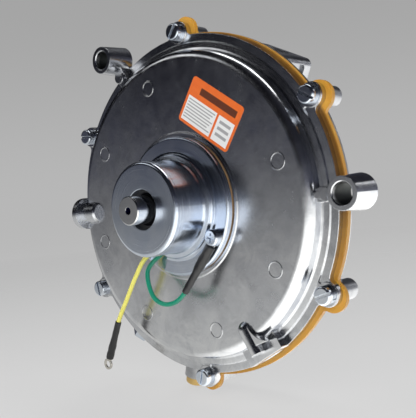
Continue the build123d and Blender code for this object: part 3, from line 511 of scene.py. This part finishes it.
# painted shade inside the guide tube's bore
paint_hole_shade(tube_brass, radius=0.0081, start_y=CLAMP_Y - 0.0400, tone=(0.012, 0.012, 0.016))
dull_cast = cast_metal(
    "die_cast_dull", light=(0.50, 0.51, 0.53), dark=(0.37, 0.38, 0.41),
    rough_low=0.27, rough_high=0.42, peel=0.0001,
)
SPECIAL = {"guide_tube": tube_brass, "rear_body": dull_cast}

for name, obj in nodes.items():
    obj.data.materials.clear()
    obj.data.materials.append(SPECIAL.get(name) or MATERIALS[slot_of[name]])


# ------------------------------------------------------------------ leads and sleeves
SWEEP_RINGS = 140
SWEEP_SIDES = 28
CURVE_STEPS = 30  # steps between two given points before resampling
WIRE_RADIUS = 0.00115


def curve_points(points):
    """Centripetal Catmull-Rom through the points, resampled to even steps along its length."""
    stops = [np.array(point, float) for point in points]
    stops = [2 * stops[0] - stops[1]] + stops + [2 * stops[-1] - stops[-2]]

    def blend(first, second, start, end, t):
        return (end - t) / (end - start) * first + (t - start) / (end - start) * second

    curve = []
    for i in range(1, len(stops) - 2):
        p0, p1, p2, p3 = stops[i - 1 : i + 3]
        t0 = 0.0
        t1 = t0 + np.linalg.norm(p1 - p0) ** 0.5
        t2 = t1 + np.linalg.norm(p2 - p1) ** 0.5
        t3 = t2 + np.linalg.norm(p3 - p2) ** 0.5
        for t in np.linspace(t1, t2, CURVE_STEPS, endpoint=False):
            middle = blend(p1, p2, t1, t2, t)
            before = blend(blend(p0, p1, t0, t1, t), middle, t0, t2, t)
            after = blend(middle, blend(p2, p3, t2, t3, t), t1, t3, t)
            curve.append(blend(before, after, t1, t2, t))
    curve.append(stops[-2])
    curve = np.array(curve)
    run = np.concatenate([[0], np.cumsum(np.linalg.norm(np.diff(curve, axis=0), axis=1))])
    even = np.linspace(0, run[-1], SWEEP_RINGS)
    return np.stack([np.interp(even, run, curve[:, k]) for k in range(3)], axis=1), even


def swept(name, points, radius_at, wobble=0.0):
    """Closed round form along the points; radius_at gives the radius at a share of the length."""
    line, run = curve_points(points)
    tangents = np.gradient(line, axis=0)
    tangents /= np.linalg.norm(tangents, axis=1)[:, None]
    side = np.cross(tangents[0], (0.3, 0.2, 0.9))
    side /= np.linalg.norm(side)
    verts, faces = [], []
    for i, (point, tangent) in enumerate(zip(line, tangents)):
        # carry the last ring's side vector on, so the form doesn't twist
        side = side - tangent * side.dot(tangent)
        side /= np.linalg.norm(side)
        other = np.cross(tangent, side)
        share = run[i] / run[-1]
        for k in range(SWEEP_SIDES):
            turn = 2 * math.pi * k / SWEEP_SIDES
            uneven = wobble * math.sin(3 * turn + 9 * share) * math.sin(23 * share + 1.3 * turn)
            radius = radius_at(share) * (1 + uneven)
            offset_side = side * (radius * math.cos(turn))
            verts.append(point + offset_side + other * (radius * math.sin(turn)))
    for i in range(SWEEP_RINGS - 1):
        here, ahead = i * SWEEP_SIDES, (i + 1) * SWEEP_SIDES
        for k in range(SWEEP_SIDES):
            n = (k + 1) % SWEEP_SIDES
            faces.append((here + k, here + n, ahead + n, ahead + k))
    faces.append(tuple(reversed(range(SWEEP_SIDES))))
    faces.append(tuple((SWEEP_RINGS - 1) * SWEEP_SIDES + k for k in range(SWEEP_SIDES)))
    mesh = bpy.data.meshes.new(name)
    mesh.from_pydata([tuple(vert) for vert in verts], [], faces)
    mesh.update()
    for face in mesh.polygons[:-2]:  # all but the two end caps
        face.use_smooth = True
    obj = bpy.data.objects.new(name, mesh)
    bpy.context.scene.collection.objects.link(obj)
    return obj


def stand_in(obj, node):
    """Let the object take a CAD node's place on the housing."""
    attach(obj, "housing")
    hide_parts(node)


def dress(obj, node, slot):
    obj.data.materials.append(MATERIALS[slot])
    stand_in(obj, node)


def sleeve_radius(start_radius, end_radius, shoulder_at):
    """Tight at the start, a soft shoulder, a slight waist near the end, a rolled lip at both ends."""
    steepness = 26
    waist_depth, waist_at, waist_width = 0.05, 0.80, 0.05
    lip_low, lip_width = 0.80, 0.02

    def radius(share):
        shoulder = 1 / (1 + math.exp(-(share - shoulder_at) * steepness))
        full = start_radius + (end_radius - start_radius) * (0.25 * share + 0.75 * shoulder)
        waist = waist_depth * full * math.exp(-(((share - waist_at) / waist_width) ** 2))
        to_end = min(1.0, min(share, 1 - share) / lip_width)
        return (full - waist) * min(1.0, lip_low + (1 - lip_low) * math.sqrt(to_end))

    return radius


def wire_radius(share):
    return WIRE_RADIUS


# each lead ends inside its sleeve; the sleeve starts at sleeve_start and runs straight
yellow_sleeve_start = at(73.0, -126.6, -26.0)
yellow_way = (at(99.3, -123.8, -26.0) - yellow_sleeve_start).normalized()
yellow_path = [
    at(21.6, -123.5, -19.75), at(26.9, -127.0, -20.3), at(33.4, -129.7, -23.6),
    at(44.2, -128.3, -25.4), at(58.0, -127.1, -26.0), yellow_sleeve_start,
    yellow_sleeve_start + yellow_way * 0.007, yellow_sleeve_start + yellow_way * 0.015,
]
dress(swept("yellow_wire", yellow_path, wire_radius), "yellow_lead", "yellow_jacket")

green_sleeve_start, green_sleeve_end = at(42.7, -78.9, -26.4), at(31.5, -43.0, -22.8)
green_span = green_sleeve_end - green_sleeve_start
green_way = green_span.normalized()
green_path = [
    at(21.6, -115.0, -19.75), at(26.5, -117.5, -20.2), at(32.4, -122.5, -21.4),
    at(36.9, -121.9, -23.6), at(41.2, -116.2, -25.4), at(46.3, -104.8, -28.0),
    at(47.7, -94.8, -28.6), at(46.2, -85.8, -27.9), green_sleeve_start,
    green_sleeve_start + green_way * 0.008, green_sleeve_start + green_way * 0.0155,
]
dress(swept("green_wire", green_path, wire_radius), "green_lead", "green_jacket")

yellow_sleeve = swept(
    "yellow_sleeve",
    [yellow_sleeve_start + yellow_way * step for step in (0.0, 0.0077, 0.0154, 0.023)],
    sleeve_radius(start_radius=0.00165, end_radius=0.00208, shoulder_at=0.55),
    wobble=0.03,
)
dress(yellow_sleeve, "yellow_lead_sleeve", "black_sleeve")

green_sleeve = swept(
    "green_sleeve",
    [green_sleeve_start + green_way * green_span.length * share for share in (0.0, 0.33, 0.66)]
    + [green_sleeve_end, green_sleeve_end + green_way * 0.0022],
    sleeve_radius(start_radius=0.0017, end_radius=0.0025, shoulder_at=0.48),
    wobble=0.045,
)
dress(green_sleeve, "green_lead_sleeve", "black_sleeve")


# ------------------------------------------------------------------ springs
def pressed_spring(node):
    """Copy of a CAD spring that takes the CAD spring's place on the housing."""
    source = nodes[node]
    spring = source.copy()
    spring.data = source.data.copy()
    spring.name = node + "_form"
    bpy.context.scene.collection.objects.link(spring)
    placed = source.matrix_world.copy()
    spring.parent = None
    spring.matrix_world = placed
    stand_in(spring, node)
    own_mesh(spring)


pressed_spring(
    "plunger_return_spring"
)
pressed_spring("lever_spring")

# ------------------------------------------------------------------ studio
# (height share from straight down to straight up, grey) as the lens and polished metal see it
BACKDROP = [(0.0, 0.72), (0.355, 0.665), (0.5, 0.475), (0.645, 0.375), (0.80, 0.25), (1.0, 0.12)]
ROOM = [
    (0.0, 0.80), (0.36, 0.68), (0.40, 0.58), (0.45, 0.37), (0.50, 0.19),
    (0.535, 0.095), (0.56, 0.040), (0.59, 0.012), (0.70, 0.006), (1.0, 0.006),
]
LIT_SWEEP = [
    (0.0, 1.4), (0.43, 1.3), (0.475, 0.95), (0.50, 0.42),
    (0.53, 0.17), (0.60, 0.06), (0.75, 0.02), (1.0, 0.02),
]
NAVY = (0.84, 0.88, 1.22)
FLOOR_RINGS = (0.25, 0.6, 1.2, 3.0)
FLOOR_SIDES = 64

scene = bpy.context.scene
scene.view_settings.view_transform = "Standard"
scene.view_settings.look = "None"


def floor_material():
    """Pale floor whose glow follows the backdrop, so that the two meet without a line."""
    g = new_surface("floor")
    grain = g.noise(scale=900.0)
    _, _, view_z = g.xyz(g.node("ShaderNodeNewGeometry").outputs["Incoming"])
    level = g.tones(g.subtract(0.5, g.multiply(view_z, 0.5)), BACKDROP)
    glow = g.mix(1.0, level, (0.115, 0.115, 0.115), blend="SUBTRACT")
    x, y, _ = g.xyz()
    # in reflections the floor is warmer, and brighter towards +x, where polished flanks mirror it
    mirrored = g.node("ShaderNodeLightPath").outputs["Is Glossy Ray"]
    boost = g.multiply(mirrored, g.rise(x, start=-0.03, end=0.03, low=0.0, high=2.3))
    g.set(
        Base_Color=g.mix(grain, (0.150, 0.150, 0.149), (0.158, 0.158, 0.157)),
        Roughness=0.9,
        Normal=g.bump(grain, distance=0.00003, strength=0.2),
        Specular_IOR_Level=0.05,
        Emission_Color=g.mix(mirrored, glow, g.mix(1.0, glow, (1.0, 0.995, 0.955), "MULTIPLY")),
        Emission_Strength=g.add(1.0, boost),
    )
    # the floor clears away with distance from the origin
    away = g.rise(g.distance(x, y), start=0.30, end=1.4)
    clear = g.node("ShaderNodeBsdfTransparent")
    blend = g.node("ShaderNodeMixShader")
    for value, socket in zip((away, g.bsdf.outputs[0], clear.outputs[0]), blend.inputs):
        g.put(value, socket)
    g.put(blend.outputs[0], g.output.inputs[0])
    return g.material


def floor_disc(z):
    verts, faces = [(0, 0, z)], []
    for radius in FLOOR_RINGS:
        for k in range(FLOOR_SIDES):
            turn = 2 * math.pi * k / FLOOR_SIDES
            verts.append((radius * math.cos(turn), radius * math.sin(turn), z))
    for k in range(FLOOR_SIDES):
        faces.append((0, 1 + k, 1 + (k + 1) % FLOOR_SIDES))
    for i in range(len(FLOOR_RINGS) - 1):
        first = 1 + i * FLOOR_SIDES
        for k in range(FLOOR_SIDES):
            here, beside = first + k, first + (k + 1) % FLOOR_SIDES
            faces.append((here, here + FLOOR_SIDES, beside + FLOOR_SIDES, beside))
    mesh = bpy.data.meshes.new("floor")
    mesh.from_pydata(verts, [], faces)
    obj = bpy.data.objects.new("floor", mesh)
    scene.collection.objects.link(obj)
    obj.data.materials.append(floor_material())


def studio_world():
    """The lens sees the plain backdrop; everything else sees a dark room with a lit sweep."""
    world = bpy.data.worlds.new("studio")
    scene.world = world
    world.use_nodes = True
    world.node_tree.nodes.clear()
    g = Graph(world.node_tree, coordinates="Generated")
    x, y, z = g.xyz()
    height = g.multiply(g.add(z, 1.0), 0.5)
    behind = g.tones(height, BACKDROP)
    room = g.tones(height, ROOM, tint=NAVY, tint_from=0.535)
    lit_sweep = g.tones(height, LIT_SWEEP, tint=NAVY, tint_from=0.53)
    # 1 towards +x and +y, where the lit sweep stands
    toward = g.add(g.add(g.multiply(x, 0.8), g.multiply(y, 0.5)), 0.25)
    seen = g.mix(g.math("MULTIPLY", toward, 2.5, clamp=True), room, lit_sweep)
    by_lens = g.node("ShaderNodeLightPath").outputs["Is Camera Ray"]
    background = g.node("ShaderNodeBackground")
    g.put(g.mix(by_lens, seen, behind), background.inputs[0])
    g.put(background.outputs[0], g.node("ShaderNodeOutputWorld").inputs[0])


# name, place, width, height, power in watts, shows in polished metal
LIGHTS = [
    ("box_side", (0.95, 0.95, -0.22), 0.9, 0.20, 0.5, True),
    ("box_window", (0.55, 1.05, 0.34), 0.10, 0.5, 0.45, True),
    ("box_high_left", (-0.85, -0.80, 0.95), 0.75, 0.45, 1.2, True),
    ("box_top", (0.05, 0.30, 1.10), 0.9, 0.22, 4.0, True),
    ("fill_front", (0.55, -0.95, 0.45), 0.8, 0.8, 8.5, False),
    ("fill_left", (-0.9, -0.55, 0.5), 0.8, 0.8, 4.0, False),
    ("fill_back", (-0.3, 1.1, 0.7), 0.9, 0.9, 6.0, False),
]
LIGHT_TARGET = Vector((0.0, -0.04, 0.0))


def softbox(name, place, width, height, power, mirrored):
    data = bpy.data.lights.new(name, "AREA")
    data.shape = "RECTANGLE"
    data.size, data.size_y = width, height
    data.energy = power
    obj = bpy.data.objects.new(name, data)
    obj.location = place
    obj.rotation_euler = (LIGHT_TARGET - Vector(place)).to_track_quat("-Z", "Y").to_euler()
    obj.visible_glossy = mirrored
    scene.collection.objects.link(obj)


def camera():
    """Camera in front of the object, towards +x, looking back at it."""
    right = Vector((0.7390, 0.6682, -0.0865)).normalized()
    up = Vector((0.0542, 0.0690, 0.9961))
    up = (up - right * up.dot(right)).normalized()
    pose = Matrix((right, up, right.cross(up))).transposed().to_4x4()
    pose.translation = Vector((0.2462, -0.3071, 0.00256))
    data = bpy.data.cameras.new("camera")
    data.lens = 60.37
    data.sensor_width = 36.0
    data.clip_start = 0.01
    obj = bpy.data.objects.new("camera", data)
    obj.matrix_world = pose
    scene.collection.objects.link(obj)
    scene.camera = obj


floor_disc(Vector(cad_bounds[0]).z - 0.0005)
studio_world()
for light in LIGHTS:
    softbox(*light)
camera()
